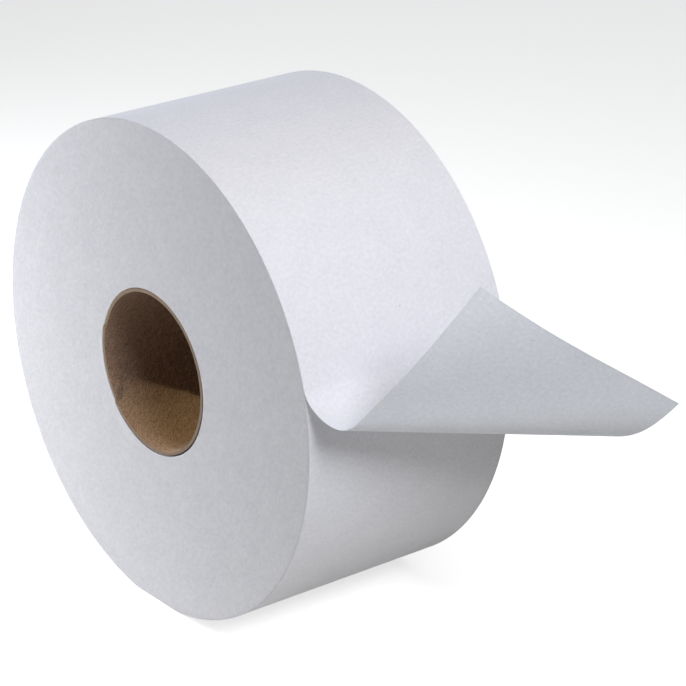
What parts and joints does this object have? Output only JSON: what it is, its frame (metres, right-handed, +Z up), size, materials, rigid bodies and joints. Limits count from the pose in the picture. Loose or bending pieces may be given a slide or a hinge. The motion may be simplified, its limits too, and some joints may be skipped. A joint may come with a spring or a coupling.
{
  "type": "toilet paper roll",
  "caption": "Wide jumbo-style toilet paper roll on a brown cardboard core, lying on its side with its loose end lifted and curled.",
  "frame": {"origin": "centre of the core's bore, at the middle of the roll's width", "axes": "+Y along the roll's axis from the near end face to the far one, +Z up from the flat spot it lies on, +X to the side where the loose end leaves the roll"},
  "size_m": [0.2614, 0.1006, 0.1861],
  "materials": {
    "tissue": "soft matt white tissue",
    "core_board": "matt brown kraft board"
  },
  "bodies": {
    "root": {"core": "core_board", "tissue_roll": "tissue"}
  },
  "joints": []
}
